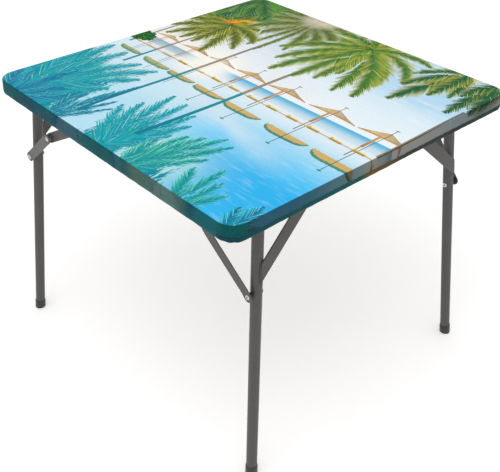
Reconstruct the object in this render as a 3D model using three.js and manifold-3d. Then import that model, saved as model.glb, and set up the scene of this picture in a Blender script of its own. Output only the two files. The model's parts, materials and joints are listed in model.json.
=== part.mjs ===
// Square folding table dressed in a fitted tablecloth with an elastic hem.
//
// Millimetres, +Z up. The origin is on the floor under the middle of the table. The front is -Y and the
// right is +X. Two leg frames, front and back, swing about axes along X and fold inwards under the top.
// Each leg is held open by a brace of two links: a lower link on the outside of the leg and an upper link
// under the top, meeting at a knuckle. The front frame is the narrower one, so the frames nest.

import * as THREE from "three";
import { mergeVertices } from "three/addons/utils/BufferGeometryUtils.js";
import Module from "manifold-3d";

const wasm = await Module();
wasm.setup();

// ---- Driving dimensions ----

// Tabletop: a board in a rolled steel rim.
const TABLE_SIDE = 860;
const TABLE_TOP_Z = 718;
const CORNER_RADIUS = 38;
const CORNER_STEPS = 7;
const BOARD_THICKNESS = 9;
const RIM_DEPTH = 32;
const RIM_WALL = 1.5;
const RIM_SHELF = 14;
const GAP = 0.3; // between pieces that touch

// Tablecloth: a fitted cover with a short skirt and an elastic in a turned-in hem.
const CLOTH_THICKNESS = 1.5;
const SKIRT_HEIGHT = 39.3;
const CLOTH_EDGE_RADIUS = 4;
const HEM_HEIGHT = 5;
const HEM_WIDTH = 8;
const HEM_WALL = 0.8;
const ELASTIC_THICKNESS = 2.6;

// Leg frames: the hinge axes, and how far the feet stand outside them.
const PIVOT_Y = 362;
const PIVOT_Z = 694;
const FOOT_SPREAD_X = 67;
const FOOT_SPREAD_Y = 63;
const HALF_WIDTH = { front: 301, back: 364 };
const TUBE_RADIUS = 12.7;
const TUBE_WALL = 1.4;
const TUBE_SIDES = 20;
const CROSS_TUBE_OVERHANG = 35; // past each leg, through the hinge saddle

// Foot caps.
const CAP_RADIUS = 14.2;
const CAP_HEIGHT = 26;
const CAP_FLOOR = 5;

// Gussets: flat bars in the plane of the frame, from the outside of a leg to the cross tube.
const GUSSET_WIDTH = 30;
const GUSSET_THICKNESS = 3;
const GUSSET_ANGLE = THREE.MathUtils.degToRad(42);
const GUSSET_DROP = 153; // below the hinge axis, on the leg
const GUSSET_PAST_LEG = 2;
const GUSSET_ABOVE_AXIS = 9;

// Braces: the rivet on the leg, the knuckle and the bracket pin, as inward and down from the hinge axis.
const RIVET_DROP = { front: 206, back: 185 };
const KNUCKLE = { front: { inward: 94, down: 84 }, back: { inward: 130, down: 68 } };
const BRACKET_PIN_DOWN = 4;
const LINK_WIDTH = 24;
const LINK_THICKNESS = 2;
// Clearances outside the leg tube when the brace lies folded beside it.
const UPPER_LINK_OFF_TUBE = { pin: 2.2, knuckle: 1.2 };
const LOWER_LINK_OFF_TUBE = 9.5;

// Rivets, bushes, pins, saddles and screws.
const RIVET_RADIUS = 3.5;
const RIVET_BORE = 2;
const RIVET_HEAD_RADIUS = 6;
const HEAD_THICKNESS = 1.3;
const BUSH_RADIUS = 7;
const PIN_RADIUS = 2.9;
const PIN_HEAD_RADIUS = 4.5;
const BRACKET_WALL = 2;
const BRACKET_LENGTH = 30;
const BRACKET_FLANGE = 18;
const SADDLE_WIDTH = 16;
const SADDLE_OUTSIDE_LEG = 24;
const SADDLE_WALL = 2;
const SADDLE_CLEARANCE = 0.5;
const SADDLE_EAR = 15;
const SCREW_RADIUS = 1.9;
const SCREW_HEAD_RADIUS = 4;
const SCREW_HEAD_THICKNESS = 2.2;
const SCREW_LENGTH = 8;

// ---- Dimensions that follow from them ----

const BOARD_BOTTOM_Z = TABLE_TOP_Z - BOARD_THICKNESS;
const RIM_BOTTOM_Z = TABLE_TOP_Z - RIM_DEPTH;
const RIM_HALF = TABLE_SIDE / 2;
const CORNER_CENTRE = RIM_HALF - CORNER_RADIUS;
const CLOTH_TOP_Z = TABLE_TOP_Z + GAP + CLOTH_THICKNESS;
const CLOTH_HALF = RIM_HALF + GAP + CLOTH_THICKNESS;
const SKIRT_BOTTOM_Z = CLOTH_TOP_Z - SKIRT_HEIGHT;
const SPLAY = FOOT_SPREAD_X / PIVOT_Z; // outwards along X for each mm down
const LEAN = FOOT_SPREAD_Y / PIVOT_Z; // outwards along Y for each mm down
const LEAN_STRETCH = Math.hypot(1, LEAN);
const LEAN_ANGLE = Math.atan(LEAN);

// ---- Materials ----

const powderCoat = new THREE.MeshStandardMaterial({ color: 0x4b4a48, roughness: 0.55, metalness: 0.4 });
const zinc = new THREE.MeshStandardMaterial({ color: 0xc9c9c6, roughness: 0.3, metalness: 1 });
const capPlastic = new THREE.MeshStandardMaterial({ color: 0x1b1b1c, roughness: 0.6 });
const board = new THREE.MeshStandardMaterial({ color: 0x6b5a48, roughness: 0.8 });
const polyester = new THREE.MeshStandardMaterial({ color: 0x2f9fc4, roughness: 0.75 });
const hemCloth = new THREE.MeshStandardMaterial({ color: 0x1d5566, roughness: 0.8 });
const elasticCloth = new THREE.MeshStandardMaterial({ color: 0xe8e6e0, roughness: 0.9 });

// ---- Solids: joining, cutting and turning ----

function toSolid(geometry) {
  const bare = geometry.index ? geometry.toNonIndexed() : geometry.clone();
  bare.deleteAttribute("normal");
  bare.deleteAttribute("uv");
  const merged = mergeVertices(bare, 1e-4);
  return new wasm.Manifold(
    new wasm.Mesh({
      numProp: 3,
      vertProperties: new Float32Array(merged.attributes.position.array),
      triVerts: new Uint32Array(merged.index.array),
    }),
  );
}

function toGeometry(solid) {
  const mesh = solid.getMesh();
  const geometry = new THREE.BufferGeometry();
  geometry.setAttribute("position", new THREE.BufferAttribute(mesh.vertProperties, 3));
  geometry.setIndex(new THREE.BufferAttribute(mesh.triVerts, 1));
  geometry.computeVertexNormals();
  return geometry;
}

function cut(geometry, ...tools) {
  return toGeometry(tools.reduce((solid, tool) => solid.subtract(toSolid(tool)), toSolid(geometry)));
}

function common(geometry, other) {
  return toGeometry(toSolid(geometry).intersect(toSolid(other)));
}

// A solid of revolution about +Z from a closed loop of [radius, height] points.
function revolve(loop, sides) {
  const points = [...loop, loop[0]].map(([r, h]) => new THREE.Vector2(r, h));
  return new THREE.LatheGeometry(points, sides).rotateX(Math.PI / 2);
}

function ringLoop(innerRadius, outerRadius, from, to) {
  return [
    [innerRadius, from],
    [outerRadius, from],
    [outerRadius, to],
    [innerRadius, to],
  ];
}

function rod(radius, from, to, sides = 12) {
  return new THREE.CylinderGeometry(radius, radius, to - from, sides)
    .rotateX(Math.PI / 2)
    .translate(0, 0, (from + to) / 2);
}

// Turns a geometry whose axis is +Z so that its axis is +X.
function alongX(geometry) {
  return geometry.rotateY(Math.PI / 2);
}

// Lays a geometry's +Z along a direction, starting at a point.
function layAlong(geometry, start, direction) {
  const turn = new THREE.Quaternion().setFromUnitVectors(new THREE.Vector3(0, 0, 1), direction);
  return geometry.applyQuaternion(turn).translate(start.x, start.y, start.z);
}

function extruded(outline, depth) {
  const shape = new THREE.Shape(outline.map(([x, y]) => new THREE.Vector2(x, y)));
  return new THREE.ExtrudeGeometry(shape, { depth, bevelEnabled: false, curveSegments: 12 });
}

function named(name, geometry, material) {
  const mesh = new THREE.Mesh(geometry, material);
  mesh.name = name;
  return mesh;
}

// ---- Outlines that follow the table's rounded square ----

// Corner directions, anticlockwise: each entry is an arc centre and a unit direction from it.
const AROUND = [];
for (let corner = 0; corner < 4; corner++) {
  const middle = Math.PI / 4 + (corner * Math.PI) / 2;
  const cx = Math.sign(Math.cos(middle)) * CORNER_CENTRE;
  const cy = Math.sign(Math.sin(middle)) * CORNER_CENTRE;
  for (let step = 0; step <= CORNER_STEPS; step++) {
    const angle = (corner + step / CORNER_STEPS) * (Math.PI / 2);
    AROUND.push({ cx, cy, dx: Math.cos(angle), dy: Math.sin(angle) });
  }
}

// The rounded square with this half side, at height z, as one ring of points.
function squareRing(half, z) {
  const radius = half - CORNER_CENTRE;
  return AROUND.map(({ cx, cy, dx, dy }) => [cx + radius * dx, cy + radius * dy, z]);
}

function indexedGeometry(points, faces) {
  const geometry = new THREE.BufferGeometry();
  geometry.setAttribute("position", new THREE.Float32BufferAttribute(points.flat(), 3));
  geometry.setIndex(faces.flat());
  return geometry;
}

function quadStrip(lower, upper, count) {
  const faces = [];
  for (let i = 0; i < count; i++) {
    const next = (i + 1) % count;
    faces.push([lower + i, lower + next, upper + next], [lower + i, upper + next, upper + i]);
  }
  return faces;
}

// A closed slab through [half side, height] sections, from the lowest up.
function squareSlab(sections) {
  const count = AROUND.length;
  const points = sections.flatMap(([half, z]) => squareRing(half, z));
  const faces = sections.slice(1).flatMap((_, i) => quadStrip(i * count, (i + 1) * count, count));
  const top = (sections.length - 1) * count;
  const bottomCentre = points.push([0, 0, sections[0][1]]) - 1;
  const topCentre = points.push([0, 0, sections.at(-1)[1]]) - 1;
  for (let i = 0; i < count; i++) {
    const next = (i + 1) % count;
    faces.push([bottomCentre, next, i], [topCentre, top + i, top + next]);
  }
  return indexedGeometry(points, faces);
}

// A closed ring round the table whose section is a loop of [half side, height] points, anticlockwise.
function squareLoop(loop) {
  const count = AROUND.length;
  const points = loop.flatMap(([half, z]) => squareRing(half, z));
  const faces = loop.flatMap((_, i) => quadStrip(i * count, ((i + 1) % loop.length) * count, count));
  return indexedGeometry(points, faces);
}

// ---- The tablecloth ----

function clothCover() {
  const r = CLOTH_EDGE_RADIUS;
  const outside = [[CLOTH_HALF, SKIRT_BOTTOM_Z]];
  for (let step = 0; step <= 3; step++) {
    const angle = (step / 3) * (Math.PI / 2);
    outside.push([CLOTH_HALF - r + r * Math.cos(angle), CLOTH_TOP_Z - r + r * Math.sin(angle)]);
  }
  const insideHalf = CLOTH_HALF - CLOTH_THICKNESS;
  const inside = [
    [insideHalf, SKIRT_BOTTOM_Z - 1],
    [insideHalf, CLOTH_TOP_Z - CLOTH_THICKNESS],
  ];
  return cut(squareSlab(outside), squareSlab(inside));
}

// The hem is turned in under the rim, and its casing is open towards the middle of the table.
function clothHem() {
  const outer = CLOTH_HALF - CLOTH_THICKNESS - GAP;
  const inner = outer - HEM_WIDTH;
  const low = SKIRT_BOTTOM_Z;
  const high = low + HEM_HEIGHT;
  return squareLoop([
    [outer, low],
    [outer, high],
    [inner, high],
    [inner, high - HEM_WALL],
    [outer - HEM_WALL, high - HEM_WALL],
    [outer - HEM_WALL, low + HEM_WALL],
    [inner, low + HEM_WALL],
    [inner, low],
  ]);
}

function hemElastic() {
  const outer = CLOTH_HALF - CLOTH_THICKNESS - GAP - HEM_WALL - GAP;
  const inner = outer - HEM_WIDTH + HEM_WALL + 2 * GAP;
  const low = SKIRT_BOTTOM_Z + (HEM_HEIGHT - ELASTIC_THICKNESS) / 2;
  return squareLoop([
    [outer, low],
    [outer, low + ELASTIC_THICKNESS],
    [inner, low + ELASTIC_THICKNESS],
    [inner, low],
  ]);
}

// ---- The tabletop ----

function saddleScrewOffset() {
  return TUBE_RADIUS + SADDLE_CLEARANCE + SADDLE_WALL + SADDLE_EAR / 2;
}

function saddleScrewSpots() {
  const spots = [];
  for (const [end, halfWidth] of Object.entries(HALF_WIDTH)) {
    for (const hand of [-1, 1]) {
      for (const out of [-1, 1]) {
        const x = hand * (halfWidth + SADDLE_OUTSIDE_LEG);
        const y = (end === "front" ? -1 : 1) * (PIVOT_Y + out * saddleScrewOffset());
        spots.push([x, y]);
      }
    }
  }
  return spots;
}

function tabletopPanel() {
  const half = RIM_HALF - RIM_WALL - GAP;
  const slab = squareSlab([
    [half, BOARD_BOTTOM_Z],
    [half, TABLE_TOP_Z],
  ]);
  const pilotHoles = saddleScrewSpots().map(([x, y]) =>
    rod(SCREW_RADIUS + GAP, -1, SCREW_LENGTH - SADDLE_WALL, 8).translate(x, y, BOARD_BOTTOM_Z),
  );
  return cut(slab, ...pilotHoles);
}

function tabletopRim() {
  const web = RIM_HALF - RIM_WALL;
  const shelfTop = BOARD_BOTTOM_Z - GAP;
  return squareLoop([
    [RIM_HALF, RIM_BOTTOM_Z],
    [RIM_HALF, TABLE_TOP_Z],
    [web, TABLE_TOP_Z],
    [web, shelfTop],
    [web - RIM_SHELF, shelfTop],
    [web - RIM_SHELF, shelfTop - RIM_WALL],
    [web, shelfTop - RIM_WALL],
    [web, RIM_BOTTOM_Z],
  ]);
}

// ---- One corner's pieces, drawn for the corner at +X +Y and mirrored to the others ----

// A point on a leg's centre line, this far below the hinge axis.
function onLeg(halfWidth, drop) {
  return new THREE.Vector3(halfWidth + SPLAY * drop, PIVOT_Y + LEAN * drop, PIVOT_Z - drop);
}

const LEG_DIRECTION = new THREE.Vector3(SPLAY, LEAN, -1).normalize();

function legTube(end) {
  const halfWidth = HALF_WIDTH[end];
  const top = onLeg(halfWidth, 0);
  const foot = onLeg(halfWidth, PIVOT_Z - CAP_FLOOR - GAP);
  const inner = TUBE_RADIUS - TUBE_WALL;
  const whole = layAlong(
    revolve(ringLoop(inner, TUBE_RADIUS, 0, top.distanceTo(foot)), TUBE_SIDES),
    top,
    LEG_DIRECTION,
  );
  const reach = 4 * TUBE_RADIUS;
  const crossTubeSpace = alongX(rod(TUBE_RADIUS + GAP, -reach, reach, 24)).translate(top.x, top.y, top.z);
  const rivetSpot = onLeg(halfWidth, RIVET_DROP[end]);
  const rivetHole = alongX(rod(RIVET_RADIUS + GAP, -reach, reach, 12)).translate(...rivetSpot);
  return cut(whole, crossTubeSpace, rivetHole);
}

function footCap(halfWidth) {
  const inner = TUBE_RADIUS + GAP;
  const below = 3; // drawn past the floor, then cut flat
  const cup = revolve(
    [
      [0, -CAP_HEIGHT],
      [CAP_RADIUS - 1, -CAP_HEIGHT],
      [CAP_RADIUS, -CAP_HEIGHT + 1],
      [CAP_RADIUS, below - 2],
      [CAP_RADIUS - 2, below],
      [0, below],
    ],
    TUBE_SIDES,
  );
  const socket = rod(inner, -CAP_HEIGHT - 1, -CAP_FLOOR, TUBE_SIDES);
  const foot = onLeg(halfWidth, PIVOT_Z);
  const tilted = layAlong(cut(cup, socket), foot, LEG_DIRECTION);
  const aboveFloor = new THREE.BoxGeometry(100, 100, 100).translate(foot.x, foot.y, 50);
  return common(tilted, aboveFloor);
}

// The outline is drawn in the frame's leaning plane: x across, q down from the hinge axis.
function gusset(halfWidth) {
  const rise = Math.tan(GUSSET_ANGLE);
  const halfBand = GUSSET_WIDTH / 2 / Math.cos(GUSSET_ANGLE);
  const splayInPlane = SPLAY / LEAN_STRETCH;
  const qLeg = GUSSET_DROP * LEAN_STRETCH;
  const xLeg = halfWidth + splayInPlane * qLeg;
  const legEnd = (band) => {
    const q = (qLeg + (halfWidth + GUSSET_PAST_LEG - xLeg) * rise + band) / (1 - splayInPlane * rise);
    return [halfWidth + GUSSET_PAST_LEG + splayInPlane * q, q];
  };
  const tubeEnd = (band) => [xLeg + (-GUSSET_ABOVE_AXIS - qLeg - band) / rise, -GUSSET_ABOVE_AXIS];
  const outline = [tubeEnd(halfBand), tubeEnd(-halfBand), legEnd(-halfBand), legEnd(halfBand)];
  const plate = named("gusset", extruded(outline, GUSSET_THICKNESS), powderCoat);
  const down = new THREE.Vector3(0, LEAN, -1).normalize();
  const outward = new THREE.Vector3(0, 1, LEAN).normalize();
  const basis = new THREE.Matrix4().makeBasis(new THREE.Vector3(1, 0, 0), down, outward);
  plate.quaternion.setFromRotationMatrix(basis);
  plate.position.set(0, PIVOT_Y, PIVOT_Z).addScaledVector(outward, TUBE_RADIUS + GAP);
  return plate;
}

// ---- The brace, worked out in the plane of its links: s inwards from the hinge axis, h up from it ----

function braceLayout(end) {
  const rivet = { s: -LEAN * RIVET_DROP[end], h: -RIVET_DROP[end] };
  const knuckle = { s: KNUCKLE[end].inward, h: -KNUCKLE[end].down };
  const lowerLength = Math.hypot(knuckle.s - rivet.s, knuckle.h - rivet.h);
  const rivetReach = Math.hypot(rivet.s, rivet.h);
  const knuckleReach = rivetReach + lowerLength;
  // With the frame folded by a right angle the lower link lies along the leg, and the upper link has to
  // reach the same knuckle from its pin both then and with the table standing.
  const folded = { s: knuckleReach * Math.cos(LEAN_ANGLE), h: -knuckleReach * Math.sin(LEAN_ANGLE) };
  const h = -BRACKET_PIN_DOWN;
  const far = folded.s ** 2 + (folded.h - h) ** 2;
  const near = knuckle.s ** 2 + (knuckle.h - h) ** 2;
  const pin = { s: (far - near) / (2 * (folded.s - knuckle.s)), h };
  return { rivet, knuckle, pin, rivetReach, knuckleReach };
}

const BRACE = { front: braceLayout("front"), back: braceLayout("back") };

// The outside of a folded leg tube, this far along it from the hinge axis.
function tubeSurfaceX(end, reach) {
  return HALF_WIDTH[end] + (SPLAY / LEAN_STRETCH) * reach + TUBE_RADIUS * Math.hypot(1, SPLAY);
}

function lowerLinkX(end) {
  return {
    rivet: tubeSurfaceX(end, BRACE[end].rivetReach) + LOWER_LINK_OFF_TUBE,
    knuckle: tubeSurfaceX(end, BRACE[end].knuckleReach) + LOWER_LINK_OFF_TUBE,
  };
}

function upperLinkX(end) {
  return {
    pin: tubeSurfaceX(end, BRACE[end].pin.s) + UPPER_LINK_OFF_TUBE.pin,
    knuckle: tubeSurfaceX(end, BRACE[end].knuckleReach) + UPPER_LINK_OFF_TUBE.knuckle,
  };
}

function bracePoint(x, { s, h }) {
  return new THREE.Vector3(x, PIVOT_Y - s, PIVOT_Z + h);
}

// A flat bar with round eyes, set over by a joggle between them: u along, v across, w through.
function linkMesh(name, from, to, startHole, endHole) {
  const length = Math.hypot(to.y - from.y, to.z - from.z);
  const offset = to.x - from.x;
  const r = LINK_WIDTH / 2;
  const t = LINK_THICKNESS;
  const side = extruded(
    [
      [-r, 0],
      [r, 0],
      [length - r, offset],
      [length + r, offset],
      [length + r, offset + t],
      [length - r, offset + t],
      [r, t],
      [-r, t],
    ],
    LINK_WIDTH,
  )
    .rotateX(Math.PI / 2)
    .translate(0, r, 0);
  const stadium = new THREE.Shape();
  stadium.absarc(0, 0, r, Math.PI / 2, (3 * Math.PI) / 2);
  stadium.absarc(length, 0, r, -Math.PI / 2, Math.PI / 2);
  const depth = Math.abs(offset) + 4 * t;
  const outline = new THREE.ExtrudeGeometry(stadium, { depth, bevelEnabled: false, curveSegments: 10 })
    .translate(0, 0, Math.min(offset, 0) - t);
  const start = rod(startHole, -depth, depth);
  const end = rod(endHole, -depth, depth).translate(length, 0, 0);
  const link = named(name, cut(common(side, outline), start, end), powderCoat);
  const along = new THREE.Vector3(0, to.y - from.y, to.z - from.z).normalize();
  const through = new THREE.Vector3(1, 0, 0);
  const across = new THREE.Vector3().crossVectors(through, along);
  link.quaternion.setFromRotationMatrix(new THREE.Matrix4().makeBasis(along, across, through));
  link.position.copy(from);
  return link;
}

function lowerLink(name, end) {
  const x = lowerLinkX(end);
  const rivet = bracePoint(x.rivet, BRACE[end].rivet);
  const knuckle = bracePoint(x.knuckle, BRACE[end].knuckle);
  return linkMesh(name, rivet, knuckle, RIVET_RADIUS + GAP, PIN_RADIUS + GAP);
}

function upperLink(name, end) {
  const x = upperLinkX(end);
  const pin = bracePoint(x.pin, BRACE[end].pin);
  const knuckle = bracePoint(x.knuckle, BRACE[end].knuckle);
  return linkMesh(name, pin, knuckle, PIN_RADIUS + GAP, PIN_RADIUS + GAP);
}

// A hollow rivet right through the leg, with a turned ring at each end.
function legRivet(name, end) {
  const spot = onLeg(HALF_WIDTH[end], RIVET_DROP[end]);
  const outside = lowerLinkX(end).rivet + LINK_THICKNESS + GAP / 2;
  const inside = 2 * spot.x - tubeSurfaceX(end, BRACE[end].rivetReach) - 3 * GAP;
  const span = outside - inside;
  const loop = [
    [RIVET_BORE, -HEAD_THICKNESS],
    [RIVET_HEAD_RADIUS - 1, -HEAD_THICKNESS],
    [RIVET_HEAD_RADIUS, 0],
    [RIVET_RADIUS, 0],
    [RIVET_RADIUS, span],
    [RIVET_HEAD_RADIUS, span],
    [RIVET_HEAD_RADIUS - 1, span + HEAD_THICKNESS],
    [RIVET_BORE, span + HEAD_THICKNESS],
  ];
  const mesh = named(name, alongX(revolve(loop, 16)), zinc);
  mesh.position.set(inside, spot.y, spot.z);
  return mesh;
}

function legBush(name, end) {
  const spot = onLeg(HALF_WIDTH[end], RIVET_DROP[end]);
  const from = tubeSurfaceX(end, BRACE[end].rivetReach) + 3 * GAP;
  const to = lowerLinkX(end).rivet - GAP;
  const sleeve = revolve(ringLoop(RIVET_RADIUS + GAP, BUSH_RADIUS, 0, to - from), 16);
  const mesh = named(name, alongX(sleeve), capPlastic);
  mesh.position.set(from, spot.y, spot.z);
  return mesh;
}

// A headed stud in the lower link. Its collar keeps the links apart, and it stops short of the upper link.
function knuckleRivet(name, end) {
  const link = lowerLinkX(end).knuckle;
  const collar = link - upperLinkX(end).knuckle - LINK_THICKNESS - 2 * GAP;
  const loop = [
    [0, -collar],
    [BUSH_RADIUS, -collar],
    [BUSH_RADIUS, 0],
    [PIN_RADIUS, 0],
    [PIN_RADIUS, LINK_THICKNESS + 2 * GAP],
    [RIVET_HEAD_RADIUS, LINK_THICKNESS + 2 * GAP],
    [RIVET_HEAD_RADIUS - 2, LINK_THICKNESS + 2 * GAP + HEAD_THICKNESS],
    [0, LINK_THICKNESS + 2 * GAP + HEAD_THICKNESS],
  ];
  const mesh = named(name, alongX(revolve(loop, 16)), zinc);
  mesh.position.copy(bracePoint(link - GAP, BRACE[end].knuckle));
  return mesh;
}

// An angle bracket under the top, on the leg's side of the upper link.
function braceBracket(name, end) {
  const face = upperLinkX(end).pin - GAP;
  const pin = bracePoint(face, BRACE[end].pin);
  const high = BOARD_BOTTOM_Z - GAP;
  const profile = [
    [face, pin.z - BRACKET_WALL - PIN_HEAD_RADIUS],
    [face, high],
    [face - BRACKET_FLANGE, high],
    [face - BRACKET_FLANGE, high - BRACKET_WALL],
    [face - BRACKET_WALL, high - BRACKET_WALL],
    [face - BRACKET_WALL, pin.z - BRACKET_WALL - PIN_HEAD_RADIUS],
  ];
  const angle = extruded(profile, BRACKET_LENGTH)
    .rotateX(Math.PI / 2)
    .translate(0, pin.y + BRACKET_LENGTH / 2, 0);
  const hole = alongX(rod(PIN_RADIUS + GAP, -3 * BRACKET_WALL, 3 * BRACKET_WALL)).translate(...pin);
  return named(name, cut(angle, hole), powderCoat);
}

function bracketPin(name, end) {
  const x = upperLinkX(end).pin;
  const length = BRACKET_WALL + 2 * GAP + LINK_THICKNESS;
  const loop = [
    [0, -HEAD_THICKNESS],
    [PIN_HEAD_RADIUS - 1, -HEAD_THICKNESS],
    [PIN_HEAD_RADIUS, 0],
    [PIN_RADIUS, 0],
    [PIN_RADIUS, length],
    [0, length],
  ];
  const mesh = named(name, alongX(revolve(loop, 12)), zinc);
  mesh.position.copy(bracePoint(x - 2 * GAP - BRACKET_WALL, BRACE[end].pin));
  return mesh;
}

// A strap round the cross tube with an ear screwed up into the board on each side.
function hingeSaddle(name, halfWidth) {
  const inner = TUBE_RADIUS + SADDLE_CLEARANCE;
  const outer = inner + SADDLE_WALL;
  const high = BOARD_BOTTOM_Z - GAP - PIVOT_Z;
  const low = high - SADDLE_WALL;
  const reach = outer + SADDLE_EAR;
  const shape = new THREE.Shape();
  shape.moveTo(-reach, low);
  shape.lineTo(-outer, low);
  shape.lineTo(-outer, 0);
  shape.absarc(0, 0, outer, Math.PI, 2 * Math.PI);
  shape.lineTo(outer, low);
  shape.lineTo(reach, low);
  shape.lineTo(reach, high);
  shape.lineTo(inner, high);
  shape.lineTo(inner, 0);
  shape.absarc(0, 0, inner, 2 * Math.PI, Math.PI, true);
  shape.lineTo(-inner, high);
  shape.lineTo(-reach, high);
  const strap = new THREE.ExtrudeGeometry(shape, {
    depth: SADDLE_WIDTH,
    bevelEnabled: false,
    curveSegments: 10,
  });
  // Drawn in x (across) and y (up), then stood up so that it is extruded along +X.
  strap.rotateX(Math.PI / 2).rotateZ(Math.PI / 2);
  const holes = [-1, 1].map((out) =>
    rod(SCREW_RADIUS + GAP, low - 1, high + 1, 8).translate(SADDLE_WIDTH / 2, out * saddleScrewOffset(), 0),
  );
  const mesh = named(name, cut(strap, ...holes), zinc);
  mesh.position.set(halfWidth + SADDLE_OUTSIDE_LEG - SADDLE_WIDTH / 2, PIVOT_Y, PIVOT_Z);
  return mesh;
}

function saddleScrew(name, halfWidth, out) {
  const loop = [
    [0, 0],
    [SCREW_HEAD_RADIUS - 1, 0],
    [SCREW_HEAD_RADIUS, 1],
    [SCREW_HEAD_RADIUS, SCREW_HEAD_THICKNESS],
    [SCREW_RADIUS, SCREW_HEAD_THICKNESS],
    [SCREW_RADIUS, SCREW_HEAD_THICKNESS + SCREW_LENGTH - 2 * GAP],
    [0, SCREW_HEAD_THICKNESS + SCREW_LENGTH - 2 * GAP],
  ];
  const mesh = named(name, revolve(loop, 10), zinc);
  const earBottom = BOARD_BOTTOM_Z - GAP - SADDLE_WALL;
  mesh.position.set(
    halfWidth + SADDLE_OUTSIDE_LEG,
    PIVOT_Y + out * saddleScrewOffset(),
    earBottom - GAP - SCREW_HEAD_THICKNESS,
  );
  return mesh;
}

// ---- Assembly ----

function tablecloth() {
  const group = new THREE.Group();
  group.add(
    named("tablecloth_cover", clothCover(), polyester),
    named("tablecloth_hem", clothHem(), hemCloth),
    named("tablecloth_elastic", hemElastic(), elasticCloth),
  );
  return group;
}

function tabletop() {
  const group = new THREE.Group();
  group.add(
    named("tabletop_panel", tabletopPanel(), board),
    named("tabletop_rim", tabletopRim(), powderCoat),
  );
  return group;
}

function crossTube(end, halfWidth) {
  const half = halfWidth + CROSS_TUBE_OVERHANG;
  const inner = TUBE_RADIUS - TUBE_WALL;
  const tube = alongX(revolve(ringLoop(inner, TUBE_RADIUS, -half, half), TUBE_SIDES));
  const mesh = named(`${end}_cross_tube`, tube, powderCoat);
  mesh.position.set(0, (end === "front" ? -1 : 1) * PIVOT_Y, PIVOT_Z);
  return mesh;
}

function corner(end, side) {
  const halfWidth = HALF_WIDTH[end];
  const name = (piece) => `${end}_${side}_${piece}`;
  const plate = gusset(halfWidth);
  plate.name = name("gusset");
  const group = new THREE.Group();
  group.scale.set(side === "left" ? -1 : 1, end === "front" ? -1 : 1, 1);
  group.add(
    named(name("leg_tube"), legTube(end), powderCoat),
    named(name("foot_cap"), footCap(halfWidth), capPlastic),
    plate,
    legRivet(name("leg_rivet"), end),
    legBush(name("leg_bush"), end),
    lowerLink(name("lower_link"), end),
    upperLink(name("upper_link"), end),
    knuckleRivet(name("knuckle_rivet"), end),
    braceBracket(name("brace_bracket"), end),
    bracketPin(name("bracket_pin"), end),
    hingeSaddle(name("hinge_saddle"), halfWidth),
    saddleScrew(name("saddle_screw_inner"), halfWidth, -1),
    saddleScrew(name("saddle_screw_outer"), halfWidth, 1),
  );
  return group;
}

const table = new THREE.Group();
table.add(tablecloth(), tabletop());
for (const end of ["front", "back"]) {
  table.add(crossTube(end, HALF_WIDTH[end]), corner(end, "left"), corner(end, "right"));
}

export default table;
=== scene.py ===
"""Looks for the folding table in its fitted, printed tablecloth."""

import json
import math

import bmesh
import bpy
import numpy as np
from mathutils import Matrix, Vector


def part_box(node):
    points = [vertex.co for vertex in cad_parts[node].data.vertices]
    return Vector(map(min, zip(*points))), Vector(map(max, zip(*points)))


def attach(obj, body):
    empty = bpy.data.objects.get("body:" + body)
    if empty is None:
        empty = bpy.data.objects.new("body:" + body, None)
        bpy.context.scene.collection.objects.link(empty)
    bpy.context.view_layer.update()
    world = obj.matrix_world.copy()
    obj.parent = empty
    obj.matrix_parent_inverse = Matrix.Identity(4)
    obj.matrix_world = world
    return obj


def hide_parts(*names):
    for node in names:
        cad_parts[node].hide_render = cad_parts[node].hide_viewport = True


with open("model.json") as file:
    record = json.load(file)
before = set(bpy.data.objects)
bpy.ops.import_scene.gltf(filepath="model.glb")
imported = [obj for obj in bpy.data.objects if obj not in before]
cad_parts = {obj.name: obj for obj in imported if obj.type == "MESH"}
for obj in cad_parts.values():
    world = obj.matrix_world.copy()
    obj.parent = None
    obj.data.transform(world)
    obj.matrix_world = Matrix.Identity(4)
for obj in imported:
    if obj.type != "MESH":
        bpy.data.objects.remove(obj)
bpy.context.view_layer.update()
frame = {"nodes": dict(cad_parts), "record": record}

MM = 0.001


# ---------------------------------------------------------------- camera, lights and floor

CAMERA_PLACE = (-1.1763, -1.3000, 1.5248)
CAMERA_TURN = (-42.3, 35.5, 0.6)    # degrees: yaw from +Y, pitch down, roll
LENS = 57.47                        # mm, on a sensor 36 mm wide
SENSOR = 36.0


def add_camera():
    """A camera that looks down at the corner between the front and the left side."""
    yaw, pitch, roll = (math.radians(v) for v in CAMERA_TURN)
    ahead = Vector((-math.sin(yaw) * math.cos(pitch), math.cos(yaw) * math.cos(pitch), -math.sin(pitch)))
    side = Vector((math.cos(yaw), math.sin(yaw), 0.0))
    up = side.cross(ahead)
    right = side * math.cos(roll) + up * math.sin(roll)
    top = up * math.cos(roll) - side * math.sin(roll)
    data = bpy.data.cameras.new("camera")
    data.lens = LENS
    data.sensor_width = SENSOR
    data.clip_end = 30.0
    camera = bpy.data.objects.new("camera", data)
    camera.matrix_world = Matrix.Translation(CAMERA_PLACE) @ Matrix(
        (
            (right.x, top.x, -ahead.x, 0),
            (right.y, top.y, -ahead.y, 0),
            (right.z, top.z, -ahead.z, 0),
            (0, 0, 0, 1),
        )
    )
    bpy.context.collection.objects.link(camera)
    bpy.context.scene.camera = camera


def add_light(name, place, target, size, power):
    """A square area light that faces its target."""
    data = bpy.data.lights.new(name, "AREA")
    data.energy = power
    data.size = size
    light = bpy.data.objects.new(name, data)
    light.location = place
    light.rotation_euler = (Vector(target) - Vector(place)).to_track_quat("-Z", "Y").to_euler()
    bpy.context.collection.objects.link(light)


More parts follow.
